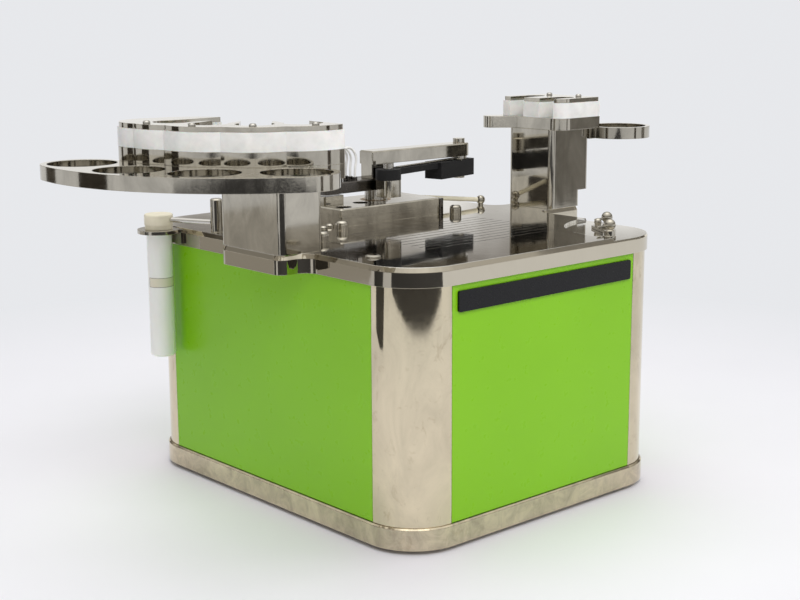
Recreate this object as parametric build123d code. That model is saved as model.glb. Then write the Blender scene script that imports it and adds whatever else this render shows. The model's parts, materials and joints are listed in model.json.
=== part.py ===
from build123d import *
from math import atan2, cos, degrees, pi, radians, sin, tan
import os

# Liquid handling robot: a bench housing with a mirror deck, a small two-link arm that rises out of
# the deck, a dock for tools on each side and a wash bottle hung on the left.
# The model is laid out about the middle of the housing at bench height: X to the right along the
# front, Y to the back, Z up. On export everything moves by FRAME_SHIFT_X, so that the origin is
# the middle of the whole footprint.

# housing
BODY_WIDTH = 270.2
BODY_DEPTH = 324.4
SIDE_X = BODY_WIDTH / 2
FRONT_Y = -BODY_DEPTH / 2
REAR_Y = BODY_DEPTH / 2
CORNER_RADIUS = 39.0
FOOT_HEIGHT = 3.5
FOOT_RADIUS = 14.0
FOOT_INSET = 44.0
BASE_THICKNESS = 16.0
BASE_FLOOR = 6.0
BASE_PROUD = 2.0
BASE_EDGE = 1.2
TRAY_WALL = 14.0
POST_HEIGHT = 170.0
POST_WALL = 12.0
POST_LIP = 8.0
POST_LIP_THICKNESS = 4.0
PANEL_THICKNESS = 4.0
PANEL_GAP = 0.4
PANEL_SEAT_GAP = 0.3
BAR_LENGTH = 182.0
BAR_HEIGHT = 14.8
BAR_RAISE = 1.8
BAR_CORNER = 1.5
BAR_BELOW_PANEL_TOP = 4.2

# deck
DECK_THICKNESS = 14.0
DECK_PROUD = 1.8
DECK_EDGE = 3.5
OUTRIGGER_CORNER = 8.0
OUTRIGGER_ROOT = 12.0
OUTRIGGER_MARGIN = 1.8
NEST_PITCH = 9.0
NEST_LINES = 11
NEST_FIRST_Y = -103.5
NEST_LEFT_X = -64.0
NEST_SIDE_X = 77.0
NEST_LINE_WIDTH = 0.8
NEST_LINE_DEPTH = 0.5
PEG_RADIUS = 5.0
PEG_HEIGHT = 7.5
PEG_ROUND = 3.0
PEG_POINTS = [(-96.3, -22.9), (-51.4, 8.8), (76.5, 13.5)]
BUTTON_RADIUS = 5.5
BUTTON_HEIGHT = 1.8
BUTTON_POINT = (-SIDE_X + 20.5, FRONT_Y + 60.4)
DOME_RADIUS = 3.4
DOME_HEIGHT = 2.8
DOME_POINTS = [(-48.0, 28.2), (-59.0, 22.5), (-57.0, 34.0)]
BALL_POINT = (SIDE_X - 4.1, 38.2)
BALL_RADIUS = 4.0
BALL_STEM_RADIUS = 2.4
BALL_RAISE = 4.5

# clamp in a shallow round recess at the front right corner
RECESS_CENTRE = (SIDE_X - 1.5, FRONT_Y + 17.3)
RECESS_RADIUS = 65.0
RECESS_DEPTH = 2.0
CLAMP_PIVOT = (SIDE_X - 38.0, FRONT_Y + 24.8)
CLAMP_PEG = (SIDE_X - 8.5, FRONT_Y + 52.6)
CLAMP_TIP = (SIDE_X - 24.3, FRONT_Y + 48.6)
CLAMP_NUB = (SIDE_X - 57.1, FRONT_Y + 9.2)
CLAMP_THICKNESS = 2.0
CLAMP_ARM_RADIUS = 5.0
CLAMP_GAP = 0.15
CLAMP_PIVOT_RADIUS = 2.5
CLAMP_BALL_RADIUS = 4.5
CLAMP_SMALL_BALL_RADIUS = 3.0
CLAMP_BALL_RAISE = 4.65
CLAMP_PIN_RADIUS = 0.9
CLAMP_PIN_LENGTH = 12.0
CLAMP_PIN_RAISE = 4.0
CLAMP_NUB_HEIGHT = 4.0

# arm housing on the deck
HOUSING_LEFT = -42.0
HOUSING_RIGHT = 66.0
HOUSING_FRONT = 21.0
HOUSING_BACK = 80.0
HOUSING_HEIGHT = 14.0
HOUSING_EDGE = 1.0
BRACKET_THICKNESS = 4.0
WELL_RADIUS = 6.5
WELL_DEPTH = 6.0
WELL_POINTS = [(-31.0, 31.0), (-4.0, 42.0)]
BLOCK_SIZE = (21.0, 18.0, 7.5)
BLOCK_POINT = (-29.5, 53.0)
BLOCK_CHAMFER = 1.5

# arm
SHOULDER = (19.0, 50.0)
UPPER_LENGTH = 96.5
WRIST = (16.2, 30.3)
COLUMN_RADIUS = 9.0
RUNNING_GAP = 0.05
FIT_GAP = 0.02
SHAFT_RADIUS = 4.0
SHAFT_FOOT_Z = 42.0
BUSH_WALL = 4.0
BUSH_FLANGE_RADIUS = 22.0
BUSH_FLANGE = 5.0
TURRET_GAP = 9.0
TURRET_THICKNESS = 9.0
TURRET_LEFT = 59.0
TURRET_RIGHT = 15.0
TURRET_FRONT = 7.5
TURRET_BACK = 18.0
TURRET_CORNER = 3.0
TURRET_SOFT_EDGE = 0.8
POST_SIZE = (19.0, 15.0)
UPPER_WIDTH = 17.0
UPPER_THICKNESS = 11.0
UPPER_RAISE = 44.0
UPPER_SOFT_EDGE = 1.0
POST_CHAMFER = 0.8
ELBOW_PIN_RADIUS = 3.0
ELBOW_HEAD_RADIUS = 5.2
ELBOW_HEAD_HEIGHT = 3.9
ELBOW_NUT_HEIGHT = 2.2
SPACER_RADIUS = 7.0
FOREARM_BELOW_UPPER = 2.9
FOREARM_THIN = 5.1
FOREARM_THICK = 14.3
FOREARM_WIDTH = 12.0
FOREARM_BLOCK_WIDTH = 18.0
FOREARM_BLOCK_FRONT = 38.5
FOREARM_BLOCK_BACK = 11.0
FOREARM_BLOCK_CORNER = 1.0
HUB_RADIUS = 10.5
HUB_HEIGHT = 8.6
HEAD_SIZE = 18.0
HEAD_CORNER = 5.5
HEAD_HEIGHT = 14.0
WRIST_SCREW_RADIUS = 2.5
WRIST_HEAD_RADIUS = 4.5
WRIST_HEAD_HEIGHT = 4.6
NEEDLE_RADIUS = 0.8
NEEDLE_LENGTH = 3.0
NEEDLE_OFFSET = (-7.0, -5.5)
JOINT_GAP = 0.1
ARM_TUBE_RADIUS = 0.8
ARM_TUBE_BEND = 3.0
ARM_TUBE_SIDE = 2.0
ARM_TUBE_HUB_OVERLAP = 2.0
ARM_TUBE_PAST_SPACER = 6.0
ARM_TUBE_OVERHANG = 3.0

# tube loops on the turret
LOOP_RADIUS = 1.0
LOOP_PITCH = 6.0
LOOP_FIRST_Y = SHOULDER[1] - 3.5
LOOP_MIDDLE_X = SHOULDER[0] - 33.0
LOOP_ROUTE = [
    (-8.0, 0.0), (-8.0, 7.0), (-10.0, 14.5), (-7.8, 20.5), (-3.4, 24.3),
    (3.4, 24.3), (7.8, 20.5), (10.0, 14.5), (8.0, 7.0), (8.0, 0.0),
]
LOOP_LEANS = [0.0, 1.2, -0.8]
BEND_SHARE = 0.45
LOOP_FITTING_RADIUS = 2.0
LOOP_FITTING_HEIGHT = 3.0

# left tower, tube plate and dock
LEFT_TOWER_X = (-SIDE_X - 24.6, -SIDE_X + 13.6)
LEFT_TOWER_Y = (-56.0, 18.0)
LEFT_TOWER_HEIGHT = 57.5
TOWER_EDGE = 4.5
DOCK_CENTRE = (-SIDE_X, -2.0)
TUBE_HOLE_RADIUS = 23.75
TUBE_PITCH_RADIUS = 135.2
TUBE_ANGLES = [169.4, 194.0, 218.1, 243.2]
TUBE_PLATE_RIM = 163.5
TUBE_PLATE_INNER = 96.0
TUBE_PLATE_END = 28.0
PLATE_THICKNESS = 10.0
LOBE_RADIUS = 40.0
LOBE_CENTRE_RADIUS = 65.5
LOBE_ANGLES = [181.6, 206.0, 230.6, 255.5]
LOBE_CUT_X = -3.9
LOBE_CUT_CORNER = 3.0
LOBE_END_POINT = (-78.9, 13.0)
LOBE_END_RADIUS = 28.0
NEST_CENTRE_RADIUS = 77.0
NEST_RADIUS = 13.5
NEST_MOUTH = 22.0
DOCK_SLOT = 16.0
DOCK_BASE_SLOT = 11.0
DOCK_BASE = 10.0
DOCK_BLOCK = 13.0
DOCK_COVER = 3.5
COVER_INSET = 1.0
DOCK_SCREW_RADIUS = 2.6
DOCK_SCREW_HEIGHT = 2.0

# right tower, dock and ring
RIGHT_TOWER_X = (SIDE_X + 17.9, SIDE_X + 55.5)
RIGHT_TOWER_Y = (-25.0, 26.0)
RIGHT_STEP = 14.0
RIGHT_STEP_X = SIDE_X + 66.4
RIGHT_DOCK_X = (SIDE_X + 18.9, SIDE_X + 70.6)
RIGHT_DOCK_Y = (-33.5, 35.0)
RIGHT_DOCK_CORNER = 12.0
RIGHT_DOCK_EDGE = 2.0
RIGHT_SLOT_END_X = SIDE_X + 50.9
RIGHT_SLOT_PITCH = 34.0
EAR_POINT = (SIDE_X + 8.9, 37.0)
EAR_RADIUS = 8.0
RING_CENTRE = (SIDE_X + 101.4, -28.0)
RING_WALL = 3.6
RING_NECK_Y = (-25.0, 2.0)

# wash bottle
BOTTLE_POINT = (-SIDE_X - 14.9, 117.2)
BOTTLE_RADIUS = 10.0
BOTTLE_NECK_RADIUS = 8.5
BOTTLE_LENGTH = 102.5
BOTTLE_NECK_HEIGHT = 7.0
BOTTLE_EDGE = 1.5
BOTTLE_WALL = 1.6
CAP_RADIUS = 11.3
CAP_SKIRT_RADIUS = 10.9
CAP_HEIGHT = 12.0
CAP_SKIRT = 3.5
CAP_EDGE = 0.8
HOLDER_THICKNESS = 3.0
HOLDER_RADIUS = 17.0
HOLDER_BELOW_DECK_TOP = 3.5
HOLDER_TAB = (2.5, 20.0, 12.0)
HOLDER_TAB_BACK = 5.0
LINE_POST_POINT = (-SIDE_X + 8.1, 70.0)
LINE_POST_RADIUS = 4.8
LINE_POST_HEIGHT = 26.0
TRANSFER_RADIUS = 2.0
SIDE_LINE_START = (70.0, 58.0)
SIDE_LINE_RAISE = 10.5

# rear fittings
INLET_X = -62.0
INLET_Z = 62.0
INLET_SIZE = (28.0, 22.0)
INLET_FLANGE = 3.0
INLET_RIM = 4.0
INLET_PIN_PITCH = 7.0
INLET_PIN_DROP = 2.0
INLET_PIN_SIZE = (2.0, 5.0)
INLET_PIN_SHORT_BY = 3.0
FLANGE_RAISE = 1.5
ROCKER_X = -24.0
ROCKER_SIZE = (12.0, 19.0)
ROCKER_TILT = 7.0
ROCKER_GAP = 0.4
ROCKER_PIN_RADIUS = 1.5
ROCKER_HEIGHT_GAP = 2.0
ROCKER_DEPTH = 7.0
ROCKER_ROUND = 1.5
ROCKER_SET_BACK = 2.5
ROCKER_FRAME_MARGIN = (6.0, 8.0)
ROCKER_WELL_MARGIN = 4.0
ROCKER_FRAME_BACK = 3.0
PORT_X = 30.0
PORT_SIZE = (17.0, 9.0)
PORT_RIM = 3.0
FITTING_DEPTH = 22.0

# inside the housing
ROD_RADIUS = 4.0
ROD_SPREAD = 34.0
CARRIAGE_Z = 60.0
CARRIAGE_THICKNESS = 15.0
CARRIAGE_WIDTH = 88.0
CARRIAGE_FRONT = 25.0
CARRIAGE_BACK = 56.0
COLLAR_RADIUS = 14.0
COLLAR_HEIGHT = 5.0
MOTOR_SIZE = 42.0
MOTOR_CORNER = 4.0
LIFT_MOTOR_HEIGHT = 40.0
SHOULDER_MOTOR_HEIGHT = 20.0
SCREW_OFFSET_Y = 44.0
SCREW_RADIUS = 4.0
SCREW_TOP_GAP = 2.0
NUT_RADIUS = 11.0
NUT_HEIGHT = 8.0
SUPPLY_SIZE = (70.0, 110.0, 42.0)
SUPPLY_POINT = (-85.0, 70.0)
BOARD_SIZE = (150.0, 90.0, 1.6)
BOARD_POINT = (0.0, -85.0)
BOARD_LEG_HEIGHT = 8.0
BOARD_LEG_RADIUS = 3.0
CHIP_SIZE = (18.0, 18.0, 3.0)
VALVE_SIZE = (36.0, 60.0, 24.0)
VALVE_POINT = (85.0, 5.0)
VALVE_COUNT = 3
VALVE_RADIUS = 7.0
VALVE_HEIGHT = 28.0

# heights and places worked out from the sizes above
BASE_TOP = FOOT_HEIGHT + BASE_THICKNESS
FLOOR_Z = FOOT_HEIGHT + BASE_FLOOR
DECK_Z = BASE_TOP + POST_HEIGHT
DECK_TOP = DECK_Z + DECK_THICKNESS
RECESS_Z = DECK_TOP - RECESS_DEPTH
UPPER_Z = DECK_TOP + UPPER_RAISE
FOREARM_TOP = UPPER_Z - FOREARM_BELOW_UPPER
HOUSING_TOP = DECK_TOP + HOUSING_HEIGHT
TURRET_Z = HOUSING_TOP + TURRET_GAP
TURRET_TOP = TURRET_Z + TURRET_THICKNESS
ELBOW = (SHOULDER[0] + UPPER_LENGTH, SHOULDER[1])
FOREARM_VECTOR = Vector(WRIST[0] - ELBOW[0], WRIST[1] - ELBOW[1], 0)
FOREARM_LENGTH = FOREARM_VECTOR.length
FOREARM_TURN = degrees(atan2(FOREARM_VECTOR.Y, FOREARM_VECTOR.X))
UPPER_TOP = UPPER_Z + UPPER_THICKNESS
HEAD_TOP = FOREARM_TOP - HUB_HEIGHT - JOINT_GAP
HEAD_BOTTOM = HEAD_TOP - HEAD_HEIGHT
HOLDER_TOP = DECK_TOP - HOLDER_BELOW_DECK_TOP + HOLDER_THICKNESS
CAP_TOP = HOLDER_TOP + CAP_HEIGHT
LEFT_PLATE_Z = DECK_TOP + LEFT_TOWER_HEIGHT
DOCK_Z = LEFT_PLATE_Z + PLATE_THICKNESS
DOCK_BLOCK_Z = DOCK_Z + DOCK_BASE
DOCK_COVER_Z = DOCK_BLOCK_Z + DOCK_BLOCK
RING_RADIUS = TUBE_HOLE_RADIUS + RING_WALL
FOOTPRINT_LEFT = DOCK_CENTRE[0] - TUBE_PLATE_RIM
FOOTPRINT_RIGHT = RING_CENTRE[0] + RING_RADIUS
FRAME_SHIFT_X = -(FOOTPRINT_LEFT + FOOTPRINT_RIGHT) / 2
SCREW_POINT = (SHOULDER[0], SHOULDER[1] + SCREW_OFFSET_Y)
MIN_ALIGN = (Align.CENTER, Align.CENTER, Align.MIN)


def drum(radius, height, x, y, z):
    """Upright cylinder standing on height z."""
    return Pos(x, y, z) * Cylinder(radius, height, align=MIN_ALIGN)


def prism(sketch, z, height):
    """Flat outline raised from height z."""
    return extrude(Pos(0, 0, z) * sketch, amount=height)


def slab(left, right, front, back, z, height, corner):
    """Upright block with rounded vertical edges."""
    outline = RectangleRounded(right - left, back - front, corner)
    return prism(Pos((left + right) / 2, (front + back) / 2) * outline, z, height)


def brick(size, x, y, z):
    """Square-edged block standing on height z."""
    return Pos(x, y, z) * Box(*size, align=MIN_ALIGN)


def soften_top(solid, size):
    """Chamfers the outer edge of the top face."""
    top = solid.faces().sort_by(Axis.Z)[-1]
    return chamfer(top.outer_wire().edges(), size)


def dome(radius, height, x, y, z):
    """Low domed head standing on height z."""
    head = drum(radius, height, x, y, z)
    return chamfer(head.edges().sort_by(Axis.Z)[-1], height / 2, radius / 3)


def domed_peg(x, y):
    """Locating peg with a rounded top."""
    peg = drum(PEG_RADIUS, PEG_HEIGHT, x, y, DECK_TOP)
    return fillet(peg.edges().sort_by(Axis.Z)[-1], PEG_ROUND)


def ball_peg(radius, stem_radius, x, y, z, raise_by):
    """Ball on a short stem that stands on height z."""
    ball = Pos(x, y, z + raise_by) * Sphere(radius)
    return ball + drum(stem_radius, raise_by, x, y, z)


def polar(centre, radius, angle):
    """Point at a distance and bearing from a centre."""
    return (centre[0] + radius * cos(radians(angle)), centre[1] + radius * sin(radians(angle)))


# housing

def make_feet():
    spots_x = BODY_WIDTH / 2 - FOOT_INSET
    spots_y = BODY_DEPTH / 2 - FOOT_INSET
    feet = []
    for side_x in (-1, 1):
        for side_y in (-1, 1):
            foot = drum(FOOT_RADIUS, FOOT_HEIGHT, side_x * spots_x, side_y * spots_y, 0)
            feet.append(chamfer(foot.edges().sort_by(Axis.Z)[0], BASE_EDGE))
    return feet


def make_base_plate():
    outline = RectangleRounded(
        BODY_WIDTH + 2 * BASE_PROUD, BODY_DEPTH + 2 * BASE_PROUD, CORNER_RADIUS + BASE_PROUD
    )
    plate = soften_top(prism(outline, FOOT_HEIGHT, BASE_THICKNESS), BASE_EDGE)
    tray = RectangleRounded(
        BODY_WIDTH - 2 * TRAY_WALL, BODY_DEPTH - 2 * TRAY_WALL, CORNER_RADIUS - TRAY_WALL
    )
    return plate - prism(tray, FLOOR_Z, BASE_THICKNESS)


def post_section():
    """Quarter-round post about its corner's centre, with a lip behind each panel."""
    ring = Circle(CORNER_RADIUS) - Circle(CORNER_RADIUS - POST_WALL)
    quarter = ring & Pos(CORNER_RADIUS, CORNER_RADIUS) * Rectangle(
        2 * CORNER_RADIUS, 2 * CORNER_RADIUS
    )
    lip_reach = CORNER_RADIUS - PANEL_THICKNESS - PANEL_SEAT_GAP - POST_LIP_THICKNESS / 2
    lip_a = Pos(-POST_LIP / 2, lip_reach) * Rectangle(POST_LIP, POST_LIP_THICKNESS)
    lip_b = Pos(lip_reach, -POST_LIP / 2) * Rectangle(POST_LIP_THICKNESS, POST_LIP)
    return quarter + lip_a + lip_b


def make_corner_posts():
    posts = []
    section = post_section()
    for side_x, side_y, turn in ((1, 1, 0), (-1, 1, 90), (-1, -1, 180), (1, -1, 270)):
        centre_x = side_x * (BODY_WIDTH / 2 - CORNER_RADIUS)
        centre_y = side_y * (BODY_DEPTH / 2 - CORNER_RADIUS)
        placed = Pos(centre_x, centre_y) * Rot(0, 0, turn) * section
        posts.append(prism(placed, BASE_TOP, POST_HEIGHT))
    return posts


def panel(width):
    """Flat panel whose outer face lies on y = 0, facing -Y."""
    body = Pos(0, PANEL_THICKNESS / 2, BASE_TOP + PANEL_GAP) * Box(
        width - 2 * PANEL_GAP, PANEL_THICKNESS, POST_HEIGHT - 2 * PANEL_GAP, align=MIN_ALIGN
    )
    return body


def make_front_panel():
    return Pos(0, FRONT_Y) * panel(BODY_WIDTH - 2 * CORNER_RADIUS)


def make_side_panel(side):
    placed = Rot(0, 0, 90 * side) * panel(BODY_DEPTH - 2 * CORNER_RADIUS)
    return Pos(side * SIDE_X, 0) * placed


def make_rear_panel():
    plate = Pos(0, REAR_Y) * Rot(0, 0, 180) * panel(BODY_WIDTH - 2 * CORNER_RADIUS)
    reach = 3 * PANEL_THICKNESS
    inlet = Pos(INLET_X, REAR_Y, INLET_Z) * Box(INLET_SIZE[0], reach, INLET_SIZE[1])
    rocker = Pos(ROCKER_X, REAR_Y, INLET_Z) * Box(
        ROCKER_SIZE[0] + 2 * ROCKER_GAP, reach, ROCKER_SIZE[1] + 2 * ROCKER_GAP
    )
    port = Pos(PORT_X, REAR_Y, INLET_Z) * Box(PORT_SIZE[0], reach, PORT_SIZE[1])
    return plate - inlet - rocker - port


def make_nameplate_bar():
    top = DECK_Z - PANEL_GAP - BAR_BELOW_PANEL_TOP
    outline = RectangleRounded(BAR_LENGTH, BAR_HEIGHT, BAR_CORNER)
    place = Plane(origin=(0, FRONT_Y, top - BAR_HEIGHT / 2), x_dir=(1, 0, 0), z_dir=(0, -1, 0))
    return extrude(place * outline, amount=BAR_RAISE)


# deck

def deck_outline():
    edge_x = BODY_WIDTH / 2 + DECK_PROUD
    outline = RectangleRounded(
        2 * edge_x, BODY_DEPTH + 2 * DECK_PROUD, CORNER_RADIUS + DECK_PROUD
    )
    left = OUTRIGGER_MARGIN - LEFT_TOWER_X[0]
    right = OUTRIGGER_MARGIN + RIGHT_TOWER_X[1]
    outline += Pos(-left / 2, sum(LEFT_TOWER_Y) / 2) * Rectangle(
        left, LEFT_TOWER_Y[1] - LEFT_TOWER_Y[0]
    )
    outline += Pos(right / 2, sum(RIGHT_TOWER_Y) / 2) * Rectangle(
        right, RIGHT_TOWER_Y[1] - RIGHT_TOWER_Y[0]
    )
    tips = outline.vertices().filter_by(lambda v: abs(v.X) > edge_x + DECK_PROUD)
    outline = fillet(tips, OUTRIGGER_CORNER)
    spans = LEFT_TOWER_Y + RIGHT_TOWER_Y
    roots = outline.vertices().filter_by(
        lambda v: abs(abs(v.X) - edge_x) < JOINT_GAP
        and min(abs(v.Y - span) for span in spans) < JOINT_GAP
    )
    return fillet(roots, OUTRIGGER_ROOT)


def make_deck_plate():
    deck = prism(deck_outline(), DECK_Z, DECK_THICKNESS)
    top = deck.faces().sort_by(Axis.Z)[-1]
    deck = chamfer(top.outer_wire().edges(), DECK_EDGE, DECK_EDGE / 2)
    deck -= drum(
        COLUMN_RADIUS + BUSH_WALL + FIT_GAP, 2 * DECK_THICKNESS, *SHOULDER, DECK_Z - DECK_EDGE
    )
    length = NEST_SIDE_X - NEST_LEFT_X
    for line in range(NEST_LINES):
        y = NEST_FIRST_Y + line * NEST_PITCH
        groove = Box(length, NEST_LINE_WIDTH, 2 * NEST_LINE_DEPTH)
        deck -= Pos((NEST_LEFT_X + NEST_SIDE_X) / 2, y, DECK_TOP) * groove
    return deck - drum(RECESS_RADIUS, DECK_THICKNESS, *RECESS_CENTRE, RECESS_Z)


def make_deck_button():
    return dome(BUTTON_RADIUS, BUTTON_HEIGHT, *BUTTON_POINT, DECK_TOP)


# clamp

def clamp_pin(point, z):
    """Thin stop pin that lies along -X from a ball's stem."""
    start = (point[0] - CLAMP_PIVOT_RADIUS, point[1], z + CLAMP_PIN_RAISE)
    return extrude(Plane(origin=start, z_dir=(-1, 0, 0)) * Circle(CLAMP_PIN_RADIUS), CLAMP_PIN_LENGTH)


def make_clamp_lever():
    """Two-armed lever in the recess, with a ball at one arm and a raised nub at the other."""
    ends = {point: Pos(*point) * Circle(CLAMP_ARM_RADIUS) for point in (
        CLAMP_PIVOT, CLAMP_PEG, CLAMP_TIP, CLAMP_NUB
    )}
    blade = make_hull((ends[CLAMP_TIP] + ends[CLAMP_PIVOT] + ends[CLAMP_PEG]).edges())
    blade += make_hull((ends[CLAMP_PIVOT] + ends[CLAMP_NUB]).edges())
    z = RECESS_Z + CLAMP_GAP
    top = z + CLAMP_THICKNESS
    lever = prism(blade, z, CLAMP_THICKNESS)
    lever -= drum(CLAMP_PIVOT_RADIUS + RUNNING_GAP, 3 * CLAMP_THICKNESS, *CLAMP_PIVOT, RECESS_Z)
    lever += ball_peg(CLAMP_BALL_RADIUS, CLAMP_PIVOT_RADIUS, *CLAMP_PEG, top, CLAMP_BALL_RAISE)
    lever += ball_peg(
        CLAMP_SMALL_BALL_RADIUS, CLAMP_PIVOT_RADIUS, *CLAMP_TIP, top, CLAMP_SMALL_BALL_RADIUS
    )
    lever += drum(CLAMP_ARM_RADIUS - 1, CLAMP_NUB_HEIGHT, *CLAMP_NUB, top)
    return lever + clamp_pin(CLAMP_PEG, top)


def make_clamp_pivot():
    """Fixed ball-headed pivot that stands in the recess through the lever."""
    height = CLAMP_GAP + CLAMP_THICKNESS + CLAMP_BALL_RAISE
    pivot = ball_peg(CLAMP_BALL_RADIUS, CLAMP_PIVOT_RADIUS, *CLAMP_PIVOT, RECESS_Z, height)
    return pivot + clamp_pin(CLAMP_PIVOT, RECESS_Z + CLAMP_GAP + CLAMP_THICKNESS)


def make_line_ball():
    """Ball fitting where the side line meets the deck's right edge."""
    return ball_peg(BALL_RADIUS, BALL_STEM_RADIUS, *BALL_POINT, DECK_TOP, BALL_RAISE)


# arm housing on the deck

def make_arm_housing():
    box = slab(
        HOUSING_LEFT, HOUSING_RIGHT, HOUSING_FRONT, HOUSING_BACK, DECK_TOP, HOUSING_HEIGHT, 2.0
    )
    box = soften_top(box, HOUSING_EDGE)
    box -= drum(COLUMN_RADIUS + BUSH_WALL + FIT_GAP, 2 * HOUSING_HEIGHT, *SHOULDER, DECK_TOP - 1)
    for point in WELL_POINTS:
        box -= drum(WELL_RADIUS, WELL_DEPTH * 2, *point, HOUSING_TOP - WELL_DEPTH)
    return box


def make_end_bracket():
    return slab(
        HOUSING_RIGHT, HOUSING_RIGHT + BRACKET_THICKNESS, HOUSING_FRONT, HOUSING_BACK,
        DECK_TOP, HOUSING_HEIGHT - 1, 1.0
    )


def make_tubing_block():
    block = brick(BLOCK_SIZE, *BLOCK_POINT, HOUSING_TOP)
    return chamfer(block.edges().filter_by(Axis.Z), BLOCK_CHAMFER)


def make_column_bush():
    sleeve = drum(
        COLUMN_RADIUS + BUSH_WALL, HOUSING_TOP - DECK_Z, *SHOULDER, DECK_Z
    )
    flange = drum(BUSH_FLANGE_RADIUS, BUSH_FLANGE, *SHOULDER, DECK_Z - BUSH_FLANGE)
    bore = drum(COLUMN_RADIUS + RUNNING_GAP, HOUSING_TOP, *SHOULDER, 0)
    return sleeve + flange - bore


# lift, column and arm

def make_lift_carriage():
    plate = slab(
        SHOULDER[0] - CARRIAGE_WIDTH / 2, SHOULDER[0] + CARRIAGE_WIDTH / 2,
        SHOULDER[1] - CARRIAGE_FRONT, SHOULDER[1] + CARRIAGE_BACK,
        CARRIAGE_Z, CARRIAGE_THICKNESS, MOTOR_CORNER
    )
    through = 2 * CARRIAGE_THICKNESS
    plate -= drum(COLUMN_RADIUS + FIT_GAP, through, *SHOULDER, CARRIAGE_Z - 1)
    plate -= drum(SCREW_RADIUS + RUNNING_GAP, through, *SCREW_POINT, CARRIAGE_Z - 1)
    for side in (-1, 1):
        plate -= drum(
            ROD_RADIUS + RUNNING_GAP, through, SHOULDER[0] + side * ROD_SPREAD, SHOULDER[1],
            CARRIAGE_Z - 1
        )
    return plate


def make_lead_nut():
    z = CARRIAGE_Z + CARRIAGE_THICKNESS
    nut = drum(NUT_RADIUS, NUT_HEIGHT, *SCREW_POINT, z)
    return nut - drum(SCREW_RADIUS + RUNNING_GAP, 2 * NUT_HEIGHT, *SCREW_POINT, z - 1)


def motor_body(x, y, z, height):
    half = MOTOR_SIZE / 2
    return slab(x - half, x + half, y - half, y + half, z, height, MOTOR_CORNER)


def make_lift_motor():
    return motor_body(*SCREW_POINT, FLOOR_Z, LIFT_MOTOR_HEIGHT)


def make_shoulder_motor():
    z = CARRIAGE_Z - SHOULDER_MOTOR_HEIGHT
    body = motor_body(*SHOULDER, z, SHOULDER_MOTOR_HEIGHT)
    return body - drum(SHAFT_RADIUS + RUNNING_GAP, 2 * SHOULDER_MOTOR_HEIGHT, *SHOULDER, z + 1)


def make_lead_screw():
    z = FLOOR_Z + LIFT_MOTOR_HEIGHT + JOINT_GAP
    return drum(SCREW_RADIUS, DECK_Z - SCREW_TOP_GAP - z, *SCREW_POINT, z)


def make_guide_rods():
    rods = []
    for side in (-1, 1):
        x = SHOULDER[0] + side * ROD_SPREAD
        rods.append(drum(ROD_RADIUS, DECK_Z - FLOOR_Z, x, SHOULDER[1], FLOOR_Z))
    return rods


def make_lift_column():
    """Hollow column clamped in the carriage by its collar."""
    tube = drum(COLUMN_RADIUS, TURRET_Z - JOINT_GAP - CARRIAGE_Z, *SHOULDER, CARRIAGE_Z)
    tube += drum(COLLAR_RADIUS, COLLAR_HEIGHT, *SHOULDER, CARRIAGE_Z + CARRIAGE_THICKNESS)
    return tube - drum(SHAFT_RADIUS + RUNNING_GAP, TURRET_Z, *SHOULDER, CARRIAGE_Z - 1)


def make_shoulder_shaft():
    """Drive shaft inside the column, from the shoulder motor to the turret plate."""
    return drum(SHAFT_RADIUS, TURRET_TOP - SHAFT_FOOT_Z, *SHOULDER, SHAFT_FOOT_Z)


def make_turret_plate():
    plate = slab(
        SHOULDER[0] - TURRET_LEFT, SHOULDER[0] + TURRET_RIGHT,
        SHOULDER[1] - TURRET_FRONT, SHOULDER[1] + TURRET_BACK, TURRET_Z, TURRET_THICKNESS,
        TURRET_CORNER
    )
    plate = soften_top(plate, TURRET_SOFT_EDGE)
    for line in range(len(LOOP_LEANS)):
        y = LOOP_FIRST_Y + line * LOOP_PITCH
        for across, _ in (LOOP_ROUTE[0], LOOP_ROUTE[-1]):
            x = LOOP_MIDDLE_X + across
            plate += drum(LOOP_FITTING_RADIUS, LOOP_FITTING_HEIGHT, x, y, TURRET_TOP)
    return plate - drum(SHAFT_RADIUS + FIT_GAP, 2 * TURRET_THICKNESS, *SHOULDER, TURRET_Z - 1)


def make_upper_arm():
    bar = make_hull((
        Pos(*SHOULDER) * Rectangle(POST_SIZE[0], UPPER_WIDTH)
        + Pos(*ELBOW) * Circle(UPPER_WIDTH / 2)
    ).edges())
    arm = soften_top(prism(bar, UPPER_Z, UPPER_THICKNESS), UPPER_SOFT_EDGE)
    post = brick((*POST_SIZE, UPPER_Z - TURRET_TOP), *SHOULDER, TURRET_TOP)
    arm += chamfer(post.edges().filter_by(Axis.Z), POST_CHAMFER)
    return arm - drum(ELBOW_PIN_RADIUS + FIT_GAP, 2 * UPPER_THICKNESS, *ELBOW, UPPER_Z - 1)


def make_elbow_spacer():
    z = FOREARM_TOP + JOINT_GAP
    ring = drum(SPACER_RADIUS, UPPER_Z - z, *ELBOW, z)
    return ring - drum(ELBOW_PIN_RADIUS + FIT_GAP, UPPER_Z, *ELBOW, z - 1)


def make_elbow_pin():
    bottom = FOREARM_TOP - FOREARM_THICK - JOINT_GAP
    pin = drum(ELBOW_PIN_RADIUS, UPPER_TOP - bottom, *ELBOW, bottom)
    pin += drum(ELBOW_HEAD_RADIUS, ELBOW_HEAD_HEIGHT, *ELBOW, UPPER_TOP)
    return pin + drum(ELBOW_HEAD_RADIUS, ELBOW_NUT_HEIGHT, *ELBOW, bottom - ELBOW_NUT_HEIGHT)


def along_forearm(item):
    """Places an item laid out from the elbow along +X onto the forearm's line."""
    return Pos(*ELBOW) * Rot(0, 0, FOREARM_TURN) * item


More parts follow.
